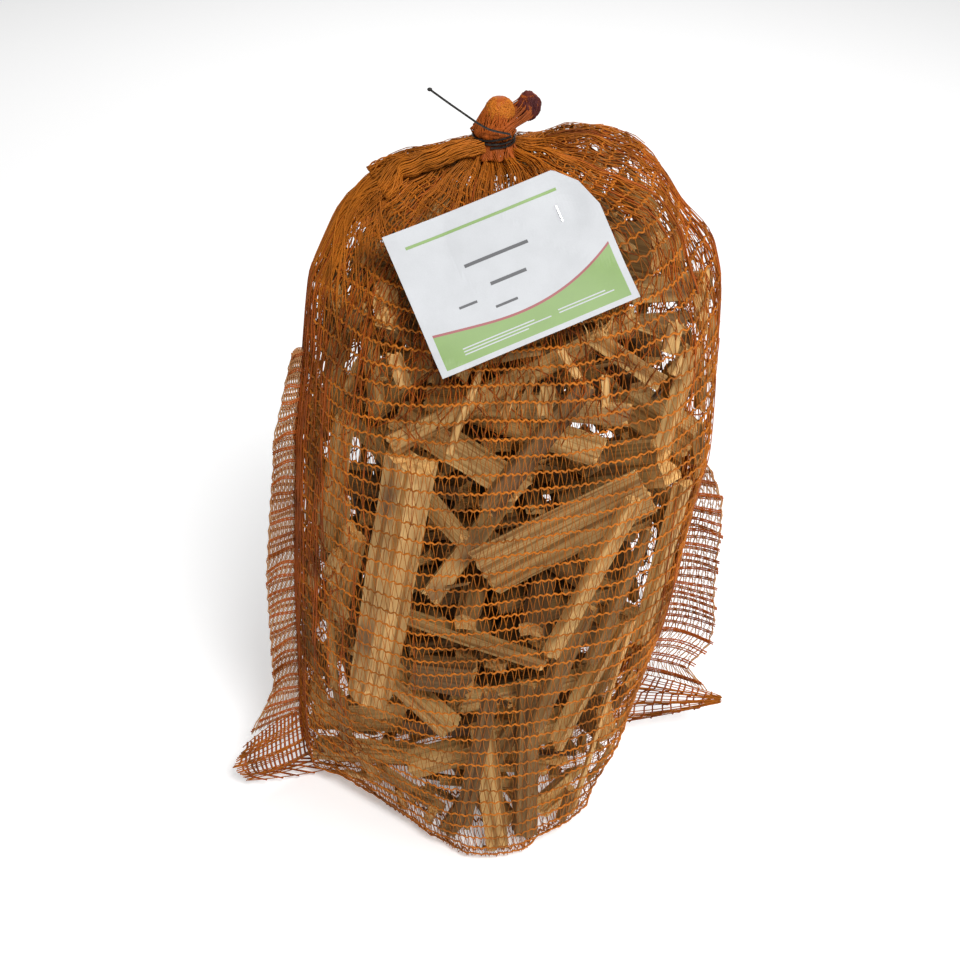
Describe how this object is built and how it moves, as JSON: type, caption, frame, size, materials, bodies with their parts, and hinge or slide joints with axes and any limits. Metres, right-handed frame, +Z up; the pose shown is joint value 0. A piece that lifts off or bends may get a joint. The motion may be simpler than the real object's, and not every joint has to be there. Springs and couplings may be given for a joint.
{
  "type": "net sack of split kindling",
  "caption": "Standing knitted net sack filled with split softwood kindling, gathered and tied at the neck with wire, with side seams, bottom ears and a plain paper tag.",
  "frame": {"origin": "middle of the sack's bounding box, on the ground that it stands on", "axes": "+Z up, X from the left side seam to the right one, front with the tag towards -Y"},
  "size_m": [0.369, 0.2308, 0.5402],
  "materials": {
    "kindling_wood": "rough split softwood, dry",
    "net_fabric": "orange knitted plastic net",
    "tie_wire": "dark coated wire, satin",
    "tag_paper": "white paper with a green band",
    "staple_steel": "bright"
  },
  "bodies": {
    "root": {"kindling_long_slat": "kindling_wood", "kindling_pale_block": "kindling_wood", "kindling_knotty_slat": "kindling_wood", "kindling_low_slant": "kindling_wood", "kindling_wide_plank": "kindling_wood", "kindling_over_plank": "kindling_wood", "kindling_right_lean": "kindling_wood", "kindling_right_dark": "kindling_wood", "kindling_right_pale": "kindling_wood", "kindling_thin_splint": "kindling_wood", "kindling_left_upright": "kindling_wood", "kindling_left_end_top": "kindling_wood", "kindling_left_end_middle": "kindling_wood", "kindling_left_end_low": "kindling_wood", "kindling_low_block": "kindling_wood", "kindling_front_upright": "kindling_wood", "kindling_short_crosspiece": "kindling_wood", "kindling_short_wedge": "kindling_wood", "kindling_pointed_end": "kindling_wood", "kindling_grey_slat": "kindling_wood", "kindling_torn_end": "kindling_wood", "kindling_pale_end": "kindling_wood", "kindling_shoulder_block": "kindling_wood", "kindling_top_lath": "kindling_wood", "kindling_left_slope_high": "kindling_wood", "kindling_left_slope_low": "kindling_wood", "kindling_left_corner": "kindling_wood", "kindling_right_lath": "kindling_wood", "kindling_blunt_end": "kindling_wood", "kindling_hidden_slat": "kindling_wood", "kindling_back_slant": "kindling_wood", "kindling_toe_left": "kindling_wood", "kindling_toe_right": "kindling_wood", "kindling_toe_side": "kindling_wood", "kindling_low_plank": "kindling_wood", "kindling_left_wedge": "kindling_wood", "kindling_left_inner": "kindling_wood", "kindling_right_low": "kindling_wood", "kindling_round_01": "kindling_wood", "kindling_round_02": "kindling_wood", "kindling_round_03": "kindling_wood", "kindling_round_04": "kindling_wood", "kindling_round_05": "kindling_wood", "kindling_round_06": "kindling_wood", "kindling_round_07": "kindling_wood", "kindling_round_08": "kindling_wood", "kindling_round_09": "kindling_wood", "kindling_round_10": "kindling_wood", "kindling_round_11": "kindling_wood", "net_front_panel": "net_fabric", "net_back_panel": "net_fabric", "net_left_seam": "net_fabric", "net_right_seam": "net_fabric", "net_shoulder_gather": "net_fabric", "net_neck_gather": "net_fabric", "net_tuft_lobe": "net_fabric", "net_tuft_twist": "net_fabric", "tie_wire": "tie_wire", "paper_tag": "tag_paper", "tag_staple": "staple_steel"}
  },
  "joints": []
}
